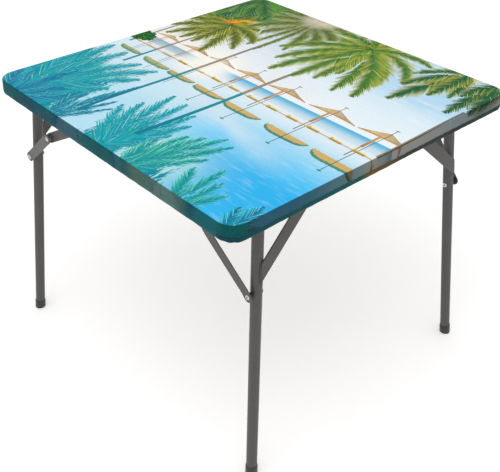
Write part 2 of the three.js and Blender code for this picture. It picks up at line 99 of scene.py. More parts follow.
def add_stage():
    """A pale floor, a white world and two soft lights."""
    size = 8.0
    mesh = bpy.data.meshes.new("floor")
    mesh.from_pydata(
        [(-size, -size, 0), (size, -size, 0), (size, size, 0), (-size, size, 0)], [], [(0, 1, 2, 3)]
    )
    floor = bpy.data.objects.new("floor", mesh)
    bpy.context.collection.objects.link(floor)
    material = bpy.data.materials.new("floor")
    material.use_nodes = True
    shader = material.node_tree.nodes["Principled BSDF"]
    shader.inputs["Base Color"].default_value = (0.95, 0.95, 0.948, 1)
    shader.inputs["Roughness"].default_value = 0.9
    shader.inputs["Specular IOR Level"].default_value = 0.1
    shader.inputs["Emission Color"].default_value = (1, 1, 1, 1)
    shader.inputs["Emission Strength"].default_value = 0.3
    mesh.materials.append(material)
    world = bpy.data.worlds.new("studio")
    world.use_nodes = True
    background = world.node_tree.nodes["Background"]
    background.inputs["Color"].default_value = (1.0, 1.0, 1.0, 1)
    background.inputs["Strength"].default_value = 0.74
    bpy.context.scene.world = world
    bpy.context.scene.view_settings.view_transform = "Standard"
    add_light("key", (-1.2, -0.6, 3.2), target=(0, 0, 0.6), size=2.4, power=24)
    add_light("fill", (-2.6, -2.6, 1.4), target=(0, 0, 0.4), size=2.0, power=6)


# ---------------------------------------------------------------- the cloth's pattern and how it sits

# The cloth is laid out flat, in millimetres: x up the print, y to the print's left. Its middle is the
# tabletop, and what lies past the tabletop's edge folds down into the skirt and turns under at the hem.

CORE = 392.0           # half side of the square that the rounded corners turn about
FLAT = 34.8            # from there to where the top starts to bend over the edge
BEND = 5.0             # radius of the bend over the edge
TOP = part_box("tablecloth_cover")[1].z / MM

# Past the bend: distance out from the core square, and how far below the top.
SKIRT = (
    (39.9, 9.5), (40.1, 14), (40.2, 18.5), (40.2, 23), (40.1, 27.5), (39.9, 32), (39.5, 35), (38.4, 37.6),
)
HEM = ((36.4, 38.9), (33.4, 39.1), (30.8, 38.8), (29.7, 37.6), (29.7, 35.9), (30.8, 34.8), (34.5, 34.5))

# The edge, from the flat top to the end of the hem: distance out from the core square, and height.
EDGE = [(FLAT, TOP)]
for bend_angle in np.radians([22.5, 45, 67.5, 90]):
    EDGE.append((FLAT + BEND * math.sin(bend_angle), TOP - BEND + BEND * math.cos(bend_angle)))
EDGE += [(out, TOP - drop) for out, drop in SKIRT + HEM]
REACH = [0.0]
for (r0, z0), (r1, z1) in zip(EDGE, EDGE[1:]):
    REACH.append(REACH[-1] + math.hypot(r1 - r0, z1 - z0))
SKIRT_END = REACH[-1 - len(HEM)]    # where the skirt turns under


def out_of_core(x, y):
    """For pattern points: the nearest point of the core square, and the way and distance out from it."""
    kx, ky = np.clip(x, -CORE, CORE), np.clip(y, -CORE, CORE)
    vx, vy = x - kx, y - ky
    length = np.hypot(vx, vy)
    safe = np.maximum(length, 1e-9)
    return kx, ky, vx / safe, vy / safe, length


def along_edge(x, y):
    """How far round the table a pattern point is, in mm: the gathers follow it."""
    kx, ky, nx, ny, _ = out_of_core(x, y)
    turn = np.arctan2(ny, nx)
    straight = np.where(np.abs(nx) > np.abs(ny), np.sign(nx) * ky, -np.sign(ny) * kx)
    corner_radius = 60.0    # more than the real one, so that the gathers crowd at the corners
    return straight + corner_radius * turn


def gathers(s, length, drift, drift_length):
    """A wave along the edge whose pitch drifts, so that the gathers differ from each other."""
    return np.sin(s / length + drift * np.sin(s / drift_length))


def place(x, y):
    """The cloth as it sits on the table: pattern points (mm) to points in the table's frame (mm)."""
    kx, ky, nx, ny, length = out_of_core(x, y)
    past = length - FLAT
    r = np.where(past > 0, np.interp(past, REACH, [p[0] for p in EDGE]), length)
    z = np.where(past > 0, np.interp(past, REACH, [p[1] for p in EDGE]), TOP)
    # Gathers grow down the skirt, and are closer and deeper round the corners.
    down = np.clip(past / SKIRT_END, 0, 1)
    corner = np.clip(np.minimum(np.abs(nx), np.abs(ny)) * 2.2, 0, 1)
    s = along_edge(x, y)
    wave = gathers(s, 9.1, 1.3, 47.0) * 0.6 + gathers(s, 4.3, 2.0, 31.0) * 0.4
    slow = np.sin(s / 63.0 + 1.0) + 0.6 * np.sin(s / 29.0 + 2.0)
    under = np.clip((past - SKIRT_END) / 8.0, 0, 1)
    depth = 0.35 + 1.0 * corner
    r = r + down**2 * (1 - under) * depth * (wave + 0.6) + down * (1 - under) * 0.25 * slow
    z = z + under * 0.35 * wave + down**3 * (1 - under) * 0.5 * slow
    # The stretched top is flat but for faint pulls towards its corners.
    radius = np.hypot(x, y)
    lean = np.abs(np.abs(x) - np.abs(y))
    pull = np.exp(-((lean / 60.0) ** 2)) * np.clip((radius - 380) / 150, 0, 1) * (past <= 0)
    z = z - pull * 0.25 * (1 + np.sin((x - y) / 7.0) * np.sin((x + y) / 7.0))
    return kx + nx * r, ky + ny * r, z


CELLS = 150    # of the grid over the core square, each way
FAN = 14       # faces round each corner


def pattern_mesh():
    """The flat pattern: a grid over the core square, then rings round it, with fans at the corners."""
    line = np.linspace(-CORE, CORE, CELLS + 1)
    points = [(px, py) for px in line for py in line]

    def at(i, j):
        return i * (CELLS + 1) + j

    faces = []
    for i in range(CELLS):
        for j in range(CELLS):
            faces.append((at(i, j), at(i + 1, j), at(i + 1, j + 1), at(i, j + 1)))
    # Once round the grid's border, anticlockwise from (+x, -y), with each corner held for its fan.
    sides = (
        ([at(CELLS, j) for j in range(CELLS + 1)], 0.0),
        ([at(i, CELLS) for i in range(CELLS, -1, -1)], 0.5 * math.pi),
        ([at(0, j) for j in range(CELLS, -1, -1)], math.pi),
        ([at(i, 0) for i in range(CELLS + 1)], 1.5 * math.pi),
    )
    border = []
    for indices, angle in sides:
        border += [(k, angle) for k in indices]
        border += [(indices[-1], angle + 0.5 * math.pi * f / FAN) for f in range(1, FAN)]
    last = [k for k, _ in border]
    for length in [7.0, 14.0, 21.0, 28.0] + [FLAT + d for d in REACH]:
        base = len(points)
        for k, angle in border:
            x, y = points[k]
            points.append((x + length * math.cos(angle), y + length * math.sin(angle)))
        ring = list(range(base, base + len(border)))
        for i in range(len(border)):
            j = (i + 1) % len(border)
            face = (last[i], ring[i], ring[j], last[j])
            faces.append(face[:3] if last[i] == last[j] else face)
        last = ring
    return np.array(points), faces


# ---------------------------------------------------------------- the print: colours and palms

def linear(level):
    """One sRGB level, 0 to 255, as linear light."""
    return ((level / 255 + 0.055) / 1.055) ** 2.4 if level > 10 else level / 255 / 12.92


def rgb(r, g, b):
    """An sRGB colour, 0 to 255 for each level, as linear light."""
    return linear(r), linear(g), linear(b)


LEAF = rgb(80, 150, 50)
LEAF_DARK = rgb(14, 58, 32)
LEAF_LIGHT = rgb(218, 226, 118)
LEAF_YELLOW = rgb(198, 192, 56)
LEAF_OLIVE = rgb(112, 128, 40)
LEAF_PALE = rgb(184, 192, 150)
LEAF_TEAL = rgb(10, 112, 74)
ORANGE = rgb(250, 150, 20)
TEAL = rgb(0, 176, 188)
TEAL_DEEP = rgb(0, 122, 160)
TEAL_GREEN = rgb(4, 164, 146)
TEAL_LEAF = rgb(60, 192, 150)
TEAL_LIGHT = rgb(158, 230, 222)


# Palm fronds, fan by fan: where the fan starts, its leaflets' inner and outer colours, and for each frond
# the way it sets off (degrees from +x towards +y), its length, how far it turns over that length
# (degrees) and how far its leaflets reach (mm).
POOL_FANS = (
    ((-372, 350), TEAL, TEAL_GREEN, (
        (74, 150, -30, 34), (-66, 190, 18, 34), (-46, 250, 10, 34), (-30, 292, -4, 34),
        (-14, 262, -14, 30), (2, 262, -8, 30), (18, 272, -12, 32), (36, 240, -20, 30),
        (-56, 226, 26, 30), (-82, 170, 30, 32),
    )),
    ((-470, 330), TEAL_DEEP, TEAL, (
        (-54, 210, 24, 36), (-28, 230, 6, 36), (0, 240, 0, 36), (26, 220, -10, 36), (50, 180, -14, 36),
    )),
    ((-462, 172), TEAL_DEEP, TEAL_GREEN, (
        (12, 232, 4, 13), (1, 196, -3, 12), (-5, 256, 3, 13), (-20, 178, 8, 14), (24, 196, -6, 14),
        (-32, 160, 10, 14),
    )),
    ((-452, -18), TEAL, TEAL_GREEN, (
        (42, 204, -10, 22), (30, 226, -8, 24), (17, 288, -2, 24), (4, 272, 3, 26), (-9, 252, 4, 24),
        (-19, 222, 6, 24), (-30, 170, 12, 22),
    )),
    ((-462, -112), TEAL_GREEN, TEAL_LEAF, (
        (4, 190, -8, 22), (-5, 214, -6, 24), (-14, 252, -2, 24), (-25, 250, 4, 24), (-38, 190, 10, 22),
        (18, 150, -8, 22),
    )),
    ((-470, -296), TEAL_GREEN, TEAL_LEAF, (
        (11, 168, -3, 22), (34, 150, -6, 20), (-28, 118, 10, 20), (-6, 132, 6, 20),
    )),
    ((-470, -430), TEAL_DEEP, TEAL_GREEN, ((5, 136, 3, 22), (26, 112, -6, 20), (-18, 110, 8, 22))),
)
SHORE_FANS = (
    ((412, 396), LEAF_TEAL, LEAF, (
        (96, 120, 30, 34), (136, 190, 20, 36), (162, 220, 10, 36), (186, 240, -6, 36),
        (212, 220, -16, 36), (240, 170, -24, 34),
    )),
    ((398, 166), LEAF_OLIVE, LEAF_PALE, (
        (62, 150, 60, 30), (96, 190, 50, 32), (128, 200, 34, 34), (154, 220, 16, 30),
        (173, 262, 5, 15), (187, 256, -5, 15), (208, 214, -16, 28), (234, 190, -34, 32),
        (262, 170, -48, 32), (296, 150, -60, 30),
    )),
    ((214, 312), LEAF_OLIVE, LEAF_YELLOW, (
        (58, 120, 60, 32), (92, 150, 46, 34), (122, 170, 30, 34), (148, 186, 16, 32),
        (168, 164, 6, 28), (190, 158, -8, 28), (216, 200, -24, 34), (246, 172, -34, 32),
        (280, 150, -56, 32), (312, 120, -60, 32), (8, 130, 10, 34),
    )),
    ((446, -318), LEAF_TEAL, LEAF_YELLOW, (
        (166, 268, 6, 40), (140, 196, 34, 34), (182, 180, -4, 34), (200, 160, -10, 32),
        (118, 150, 40, 30),
    )),
    ((434, -404), LEAF_TEAL, LEAF_OLIVE, ((176, 212, 6, 32), (196, 170, -10, 32), (150, 120, 30, 30))),
    ((376, -54), LEAF, LEAF_YELLOW, (
        (286, 240, -92, 30), (252, 240, -62, 34), (232, 300, -40, 38), (214, 282, -26, 34),
        (190, 244, -8, 32), (172, 274, 8, 34), (152, 300, 22, 36), (131, 264, 40, 32),
        (110, 246, 48, 32), (82, 200, 60, 30), (52, 150, 60, 30), (312, 190, -70, 28),
        (344, 110, -30, 28), (20, 110, 30, 28), (162, 180, 10, 36), (201, 190, -14, 34),
    )),
)
LAYERS = 3
NEARBY = 1.35    # how far off a frond's numbers still count, in its own half lengths and widths

# Where the palms close up into a mass: the pool's below, the shore's above.
POOL_MASS = (
    ((-560, 560), (-146, 560), (-168, 400), (-210, 300), (-262, 216), (-380, 190), (-560, 150)),
    ((-560, 70), (-350, 48), (-300, -4), (-330, -62), (-560, -84)),
    ((-560, -90), (-392, -104), (-352, -150), (-400, -210), (-560, -220)),
)
SHORE_MASS = (
    ((560, 560), (130, 560), (168, 420), (226, 318), (276, 250), (340, 214), (404, 236), (560, 190)),
    ((560, 20), (430, 10), (424, -120), (560, -130)),
)


def frond_axes(x, y, root, angle, length, bend):
    """How far along a curved rib each point is, and how far to its left, in mm."""
    a = math.radians(angle)
    turn = math.radians(bend if abs(bend) > 1 else 1.0)
    radius = length / turn
    cx, cy = root[0] - radius * math.sin(a), root[1] + radius * math.cos(a)
    dx, dy = x - cx, y - cy
    start = math.atan2(root[1] - cy, root[0] - cx)
    swing = (np.arctan2(dy, dx) - start + math.pi) % (2 * math.pi) - math.pi
    return swing * radius, (abs(radius) - np.hypot(dx, dy)) * math.copysign(1, radius)


def store(mesh, name, *columns):
    """Keeps four numbers at each point of a mesh, for its material to read."""
    layer = mesh.color_attributes.new(name, "FLOAT_COLOR", "POINT")
    layer.data.foreach_set("color", np.column_stack(columns).ravel())


def frond_layers(mesh, name, fans, points):
    """Stores at each point of the cloth its place in each layer's nearest frond, and the frond's colours.

    Each fan's fronds are dealt out to the layers in turn, so that neighbours overlap.
    """
    x, y = points[:, 0], points[:, 1]
    for number in range(LAYERS):
        best = np.full(len(x), 1e9)
        here = np.zeros((len(x), 4))
        inner = np.zeros((len(x), 4))
        outer = np.zeros((len(x), 4))
        index = 0
        for root, c_in, c_out, fronds in fans:
            for angle, length, bend, spread in fronds[number::LAYERS]:
                index += 1
                u, v = frond_axes(x, y, root, angle, length, bend)
                far = np.maximum(np.abs(v) / spread, np.abs(u - length / 2) / (length / 2 + 4))
                mine = far < best
                best = np.where(mine, far, best)
                here[mine] = np.stack([u, v, far < NEARBY, np.full(len(x), index)], axis=1)[mine]
                inner[mine] = (*c_in, length)
                outer[mine] = (*c_out, spread)
        store(mesh, f"{name}_{number}_place", here)
        store(mesh, f"{name}_{number}_inner", inner)
        store(mesh, f"{name}_{number}_outer", outer)


def inside_distance(x, y, outlines):
    """Distance inside the nearest of some outlines, in mm, and negative outside them all."""
    best = np.full(len(x), -1e9)
    for outline in outlines:
        near = np.full(len(x), 1e9)
        odd = np.zeros(len(x), bool)
        for (ax, ay), (bx, by) in zip(outline, outline[1:] + outline[:1]):
            wx, wy = bx - ax, by - ay
            t = np.clip(((x - ax) * wx + (y - ay) * wy) / (wx**2 + wy**2), 0, 1)
            near = np.minimum(near, np.hypot(x - ax - t * wx, y - ay - t * wy))
            if ay != by:
                odd ^= ((ay > y) != (by > y)) & (x < (bx - ax) * (y - ay) / (by - ay) + ax)
        best = np.maximum(best, np.where(odd, near, -near))
    return best


def blend_stops(t, stops):
    """Colours at positions t, interpolated between stops of (position, colour)."""
    at = [s[0] for s in stops]
    return np.stack([np.interp(t, at, [s[1][k] for s in stops]) for k in range(3)], axis=-1)


# The washes' colours, each with its place: the sky's is how far up the print, in mm.
SKY_LEFT = (
    (10, rgb(246, 244, 240)),
    (120, rgb(234, 240, 246)),
    (260, rgb(212, 226, 234)),
    (440, rgb(206, 218, 214)),
)
SKY_RIGHT = (
    (0, rgb(240, 247, 251)),
    (90, rgb(231, 244, 251)),
    (170, rgb(218, 238, 250)),
    (215, rgb(190, 225, 247)),
    (330, rgb(174, 216, 242)),
    (440, rgb(206, 230, 246)),
)
# The pool's place is its depth, 0 to 1.
POOL_DEPTHS = (
    (0, rgb(220, 237, 246)),
    (0.2, rgb(184, 226, 243)),
    (0.45, rgb(146, 214, 247)),
    (0.72, rgb(84, 196, 243)),
    (1, rgb(44, 180, 238)),
)
CLOUD = rgb(218, 233, 241)
POOL_FOOT = rgb(190, 230, 216)
# The front skirt's lower band, dark colours that are partly print and partly painted shade where the hem
# turns under: its place is in mm along the table.
HEM_PRINT_AND_SHADE = (
    (-430, rgb(10, 62, 72)),
    (-110, rgb(12, 80, 80)),
    (-82, rgb(20, 74, 62)),
    (-62, rgb(100, 72, 34)),
    (16, rgb(88, 64, 40)),
    (40, rgb(46, 56, 52)),
    (260, rgb(44, 48, 50)),
    (330, rgb(28, 62, 44)),
    (430, rgb(24, 56, 42)),
)


def sky_wash(x, y):
    """The sky's colour: up the print it goes from haze to blue, and it is greyer at the left."""
    wave = 6 * np.sin(y / 90.0) + 4 * np.sin(x / 37.0 + y / 61.0)
    right = np.clip((160 - y) / 420, 0, 1)[:, None]
    left_side = blend_stops(x + wave, SKY_LEFT)
    right_side = blend_stops(x + wave, SKY_RIGHT)
    return left_side + (right_side - left_side) * right


def pool_wash(x, y):
    """The pool's colour: deeper down the print and to the right."""
    deep = np.clip((-x - 70) / 210, 0, 1) * np.clip((110 - y) / 330, 0.22, 1)
    pool = blend_stops(deep, POOL_DEPTHS)
    # A bank of cloud, reflected: it starts here and runs to the right and a little down.
    start_x, start_y, length = -126, 32, 340
    way_x, way_y = -0.268, -0.963
    along = ((x - start_x) * way_x + (y - start_y) * way_y) / length
    across = (x - start_x) * -way_y + (y - start_y) * way_x
    width = 30 + 10 * np.sin(along * 9)
    cloud = np.exp(-((across / width) ** 2)) * np.clip(1.3 - np.abs(along - 0.45) * 1.6, 0, 1)
    pool = pool + (np.array(CLOUD) - pool) * (0.6 * cloud)[:, None]
    # Pale light at the foot of the picture.
    foot = np.clip((-x - 230) / 110, 0, 1) * np.exp(-(((y + 140) / 105) ** 2))
    return pool + (np.array(POOL_FOOT) - pool) * (0.9 * foot)[:, None]


def add_cloth(with_pieces):
    """The cloth: one sheet over the top, down the skirt and in under the hem, with the print's data."""
    points, faces = pattern_mesh()
    px, py = points[:, 0], points[:, 1]
    mesh = bpy.data.meshes.new("printed_tablecloth")
    mesh.from_pydata((np.stack(place(px, py), axis=1) * MM).tolist(), [], faces)
    store(mesh, "sky", sky_wash(px, py), inside_distance(px, py, SHORE_MASS))
    store(mesh, "pool", pool_wash(px, py), inside_distance(px, py, POOL_MASS))
    store(mesh, "hem_print_and_shade", blend_stops(px, HEM_PRINT_AND_SHADE), np.zeros(len(points)))
    past = out_of_core(px, py)[4] - FLAT
    store(mesh, "pattern", px, py, past, past)    # the fourth number only fills the place
    nearest = np.abs(points[:, 1:2] - np.array(PARASOLS)[:, 0]).argmin(axis=1)
    centre, half, height = np.array(PARASOLS)[nearest].T
    store(mesh, "parasol", py - centre, half, height, nearest)
    frond_layers(mesh, "pool", POOL_FANS, points)
    frond_layers(mesh, "shore", SHORE_FANS, points)
    uv = mesh.uv_layers.new(name="flat")
    corner = np.array([v for f in faces for v in f])
    uv.data.foreach_set("uv", (points[corner] * MM).ravel())
    mesh.shade_smooth()

    cloth = bpy.data.objects.new("printed_tablecloth", mesh)
    bpy.context.collection.objects.link(cloth)
    mesh.materials.append(printed_polyester())
    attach(cloth, "tabletop")
    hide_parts("tablecloth_cover", "tablecloth_hem")


# ---------------------------------------------------------------- small pieces

def add_piece(name, solids, body, material):
    """One piece from closed solids, each a list of points (mm, in the table's frame) and its faces."""
    shape = bmesh.new()
    for points, faces in solids:
        corners = [shape.verts.new(Vector(point) * MM) for point in points]
        for face in faces:
            shape.faces.new([corners[k] for k in face]).smooth = True
    bmesh.ops.recalc_face_normals(shape, faces=shape.faces)
    mesh = bpy.data.meshes.new(name)
    shape.to_mesh(mesh)
    shape.free()
    mesh.materials.append(material)
    piece = bpy.data.objects.new(name, mesh)
    bpy.context.collection.objects.link(piece)
    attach(piece, body)
    return piece


def skin(rings, closed=False):
    """A tube through rings of points: closed into a loop, or capped at its ends."""
    count, sides = len(rings), len(rings[0])
    faces = []
    for i in range(count if closed else count - 1):
        a, b = i * sides, (i + 1) % count * sides
        for j in range(sides):
            k = (j + 1) % sides
            faces.append((a + j, a + k, b + k, b + j))
    if not closed:
        faces += [tuple(range(sides)), tuple(range((count - 1) * sides, count * sides))]
    return [point for ring in rings for point in ring], faces


def round_the_table(out, step):
    """Points round the core square, at a distance out from it: each is x, y and the way outwards."""
    way = []
    for quarter in range(4):
        angle = 0.5 * math.pi * quarter
        nx, ny = round(math.cos(angle)), round(math.sin(angle))
        count = int(2 * CORE / step)
        for i in range(count):
            t = CORE * (2 * i / count - 1)
            way.append((nx * (CORE + out) - ny * t, ny * (CORE + out) + nx * t, nx, ny))
        count = max(int(0.5 * math.pi * out / step), 1)
        for i in range(count):
            a = angle + 0.5 * math.pi * i / count
            c, s = math.cos(a), math.sin(a)
            way.append(((nx - ny) * CORE + out * c, (nx + ny) * CORE + out * s, c, s))
    return way


def add_elastic(material):
    """The elastic inside the hem: a flat ribbed braid, which ripples a little as it gathers the cloth."""
    middle, level = 33.7, TOP - 36.8
    half_width, ribs, pitch = 3.1, 8, 4.0
    across = []
    for k in range(ribs + 1):
        thick = 1.15 if k % 2 else 0.85
        across.append((half_width * (2 * k / ribs - 1), thick))
    section = across + [(a, -b) for a, b in reversed(across)]
    rings = []
    for i, (x, y, nx, ny) in enumerate(round_the_table(middle, pitch)):
        ripple = 0.2 * math.sin(1.3 * i)
        rings.append([(x + nx * a, y + ny * a, level + b + ripple) for a, b in section])
    elastic = add_piece("gathered_elastic", [skin(rings, closed=True)], "tabletop", material)
    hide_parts("tablecloth_elastic")
    return elastic


def add_hem_stitching(material):
    """A row of stitches round the skirt, just above the elastic's casing. Each dips in at its ends."""
    row, pitch, sides = 26.6, 4.2, 6    # the row's distance past the flat top, in mm of cloth
    way = np.array(round_the_table(FLAT + row, pitch))
    nx, ny = way[:, 2], way[:, 3]
    # Each place along a stitch: how far out of the cloth its middle is, and its radius.
    half_stitch = ((1.1, 0.14, 0.24), (1.8, -0.35, 0.1))
    stitch = [(-along, out, thick) for along, out, thick in reversed(half_stitch)]
    stitch += [(0.0, 0.24, 0.28), *half_stitch]
    rings = []
    for along, out, thick in stitch:
        x, y, z = place(way[:, 0] - ny * along, way[:, 1] + nx * along)
        ring = []
        for k in range(sides):
            a = 2 * math.pi * k / sides
            off = out + thick * math.cos(a)
            ring.append(np.stack([x + nx * off, y + ny * off, z + thick * math.sin(a)], axis=1))
        rings.append(ring)
    stitches = [skin([[tuple(point[i]) for point in ring] for ring in rings]) for i in range(len(way))]
    return add_piece("hem_stitching", stitches, "tabletop", material)


def pan_head(x, y, z):
    """A pan head screw with a cross recess, which hangs down from (x, y, z)."""
    rim, rim_height = 4.0, 0.9
    crown, sag = 2.2, 0.55          # the dome's height, and how far it drops towards the rim
    slot_half, slot_reach, slot_deep = 0.5, 2.1, 1.1
    sectors, radii = 40, (0.3, 0.6, 0.9, 1.2, 1.6, 2.0, 2.3, 2.8, 3.3, 3.7, 3.95, rim)
    rings = []
    for r in radii:
        ring = []
        for k in range(sectors):
            a = 2 * math.pi * k / sectors
            u, v = abs(r * math.cos(a)), abs(r * math.sin(a))
            recess = slot_deep if min(u, v) < slot_half and max(u, v) < slot_reach else 0.0
            dome = crown - sag * (r / radii[-2]) ** 4 if r < rim else rim_height
            ring.append((x + r * math.cos(a), y + r * math.sin(a), z - dome + recess))
        rings.append(ring)
    rings.append([(px, py, z) for px, py, _ in rings[-1]])
    return skin(rings)


def add_bracket_screws(material):
    """Two screws in each brace bracket's flange."""
    flange_middle, flange_thick, apart = 10.5, 2.0, 7.5    # mm: apart is from the flange's middle
    for name in ("front_left", "front_right", "back_left", "back_right"):
        low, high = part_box(f"{name}_brace_bracket")
        # The flange reaches inwards from the bracket's wall, on its outer side.
        inwards = -1 if "right" in name else 1
        x = (low.x if inwards > 0 else high.x) / MM + inwards * flange_middle
        y, under = (low.y + high.y) / 2 / MM, high.z / MM - flange_thick
        heads = [pan_head(x, y + side * apart, under) for side in (-1, 1)]
        add_piece(f"{name}_bracket_screws", heads, "tabletop", material)


def weld_bead(start, end, thick):
    """A lumpy bead of weld from one point to another, tapered at its ends."""
    start, end = Vector(start), Vector(end)
    way = (end - start).normalized()
    side = way.cross(Vector((0.3, 1.0, 0.2))).normalized()
    up = way.cross(side)
    count, sides = 34, 10
    rings = []
    for i in range(count):
        t = i / (count - 1)
        r = thick * (0.86 + 0.14 * math.sin(i * 2.4)) * min(1.0, 0.25 + 5 * min(t, 1 - t))
        centre = start.lerp(end, t)
        ring = []
        for k in range(sides):
            a = 2 * math.pi * k / sides
            ring.append(centre + (side * math.cos(a) + up * math.sin(a)) * r)
        rings.append(ring)
    return skin(rings)


def add_weld_beads(material):
    """Beads where each gusset's ends meet the leg and the cross tube.

    Each bead's ends are given in mm from a corner of the gusset's box.
    """
    for end, back in (("front", -1), ("back", 1)):
        for side, right in (("left", -1), ("right", 1)):
            low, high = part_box(f"{end}_{side}_gusset")
            leg_x = (high.x if right > 0 else low.x) / MM
            tube_x = (low.x if right > 0 else high.x) / MM
            leg_y = (high.y if back > 0 else low.y) / MM
            tube_y = (low.y if back > 0 else high.y) / MM
            at_leg = weld_bead(
                (leg_x + right * 1.2, leg_y - back * 2.4, low.z / MM + 1.5),
                (leg_x - right * 3.1, leg_y - back * 6.4, low.z / MM + 42.8),
                2.0,
            )
            at_tube = weld_bead(
                (tube_x + right * 2.5, tube_y + back * 0.2, high.z / MM - 0.8),
                (tube_x + right * 42.5, tube_y + back * 0.2, high.z / MM - 0.8),
                2.4,
            )
            name = f"{end}_{side}_gusset_welds"
            add_piece(name, [at_leg, at_tube], f"{end}_leg_frame", material)


# ---------------------------------------------------------------- materials

def arithmetic(operation, swap=False):
    """A method of Value that does one operation with another value or number."""

    def method(self, other=0.0):
        a, b = (other, self) if swap else (self, other)
        return self.nodes.math(operation, a, b)

    return method


class Value:
    """A number in a node tree, with ordinary arithmetic."""

    def __init__(self, nodes, socket):
        self.nodes = nodes
        self.socket = socket

    __add__ = arithmetic("ADD")
    __radd__ = arithmetic("ADD")
    __sub__ = arithmetic("SUBTRACT")
    __rsub__ = arithmetic("SUBTRACT", swap=True)
    __mul__ = arithmetic("MULTIPLY")
    __rmul__ = arithmetic("MULTIPLY")
    __truediv__ = arithmetic("DIVIDE")
    __gt__ = arithmetic("GREATER_THAN")
    __lt__ = arithmetic("LESS_THAN")
    __mod__ = arithmetic("FLOORED_MODULO")
    __pow__ = arithmetic("POWER")
    abs = arithmetic("ABSOLUTE")
    sin = arithmetic("SINE")
    floor = arithmetic("FLOOR")
    round = arithmetic("ROUND")
    least = arithmetic("MINIMUM")
    most = arithmetic("MAXIMUM")

    def ramp(self, low, high, to_low=0.0, to_high=1.0):
        """A smooth step: from low to high the result goes from to_low to to_high."""
        node = self.nodes.add("ShaderNodeMapRange", interpolation_type="SMOOTHSTEP")
        keys = ("Value", "From Min", "From Max", "To Min", "To Max")
        for key, value in zip(keys, (self, low, high, to_low, to_high)):
            self.nodes.put(node.inputs[key], value)
        return Value(self.nodes, node.outputs[0])


class Nodes:
    """A short way to write a material's node tree."""

    def __init__(self, name):
        self.material = bpy.data.materials.new(name)
        self.material.use_nodes = True
        self.tree = self.material.node_tree
        self.shader = self.tree.nodes["Principled BSDF"]

    def add(self, kind, inputs=None, **settings):
        """Adds a node, with its settings, and fills or links its inputs."""
        node = self.tree.nodes.new(kind)
        for key, value in settings.items():
            setattr(node, key, value)
        for key, value in (inputs or {}).items():
            self.put(node.inputs[key], value)
        return node

    def put(self, socket, value):
        """Links a value of the tree to a socket, or sets the socket to a plain one."""
        if isinstance(value, Value):
            value = value.socket
        if isinstance(value, bpy.types.NodeSocket):
            self.tree.links.new(value, socket)
        else:
            socket.default_value = value

    def set(self, **values):
        """Fills or links the shader's inputs, with _ for each space in their names."""
        for key, value in values.items():
            self.put(self.shader.inputs[key.replace("_", " ")], value)

    def math(self, operation, a, b):
        node = self.tree.nodes.new("ShaderNodeMath")
        node.operation = operation
        self.put(node.inputs[0], a)
        self.put(node.inputs[1], b)
        return Value(self, node.outputs[0])

    def mix(self, factor, a, b, blend="MIX"):
        """Blends colour b over colour a."""
        node = self.tree.nodes.new("ShaderNodeMix")
        node.data_type = "RGBA"
        node.blend_type = blend
        self.put(node.inputs["Factor"], factor)
        for index, colour in ((6, a), (7, b)):
            plain = isinstance(colour, tuple) and len(colour) == 3
            self.put(node.inputs[index], (*colour, 1) if plain else colour)
        return node.outputs[2]

    def vector(self, x, y, z=0.0):
        node = self.add("ShaderNodeCombineXYZ")
        for index, value in enumerate((x, y, z)):
            self.put(node.inputs[index], value)
        return node.outputs[0]

    def noise(self, scale, detail=3.0, coords=None, roughness=0.5):
        coords = coords or self.position()
        inputs = {"Vector": coords, "Scale": scale, "Detail": detail, "Roughness": roughness}
        node = self.add("ShaderNodeTexNoise", inputs)
        return Value(self, node.outputs["Fac"])

    def random(self, a, b):
        """A number from 0 to 1 that is the same wherever a and b are the same."""
        node = self.add("ShaderNodeTexWhiteNoise", {"W": a * 0.731 + b * 12.77}, noise_dimensions="1D")
        return Value(self, node.outputs["Value"])

    def grain(self, wide, tall, seed, turn=0.0):
        """Noise over the cloth's pattern, in blots of wide by tall mm along the print's x and y."""
        uv = self.add("ShaderNodeUVMap", uv_map="flat").outputs[0]
        node = self.add("ShaderNodeMapping", {"Vector": uv}, vector_type="TEXTURE")
        node.inputs["Location"].default_value = (0, 0, -seed)
        node.inputs["Rotation"].default_value = (0, 0, turn)
        node.inputs["Scale"].default_value = (wide * MM, tall * MM, 1)
        return self.noise(1.0, 3.0, node.outputs[0])

    def streak(self, along, seed):
        """Noise along one number only."""
        inputs = {"W": along + seed * 3.3, "Scale": 1.0, "Detail": 2.0}
        node = self.add("ShaderNodeTexNoise", inputs, noise_dimensions="1D")
        return Value(self, node.outputs["Fac"])

    def position(self):
        return self.add("ShaderNodeTexCoord").outputs["Object"]

    def split(self, vector):
        node = self.add("ShaderNodeSeparateXYZ", {0: vector})
        return [Value(self, s) for s in node.outputs]

    def attribute(self, name):
        """A colour stored on the cloth, and the number stored with it."""
        node = self.add("ShaderNodeAttribute", attribute_name=name)
        return node.outputs["Color"], Value(self, node.outputs["Alpha"])

    def numbers(self, name):
        """Four numbers stored on the cloth."""
        colour, last = self.attribute(name)
        node = self.add("ShaderNodeSeparateColor", {0: colour})
        return [Value(self, s) for s in node.outputs] + [last]

    def bump(self, height, strength, distance):
        node = self.add("ShaderNodeBump", {"Height": height, "Strength": strength, "Distance": distance})
        self.set(Normal=node.outputs[0])


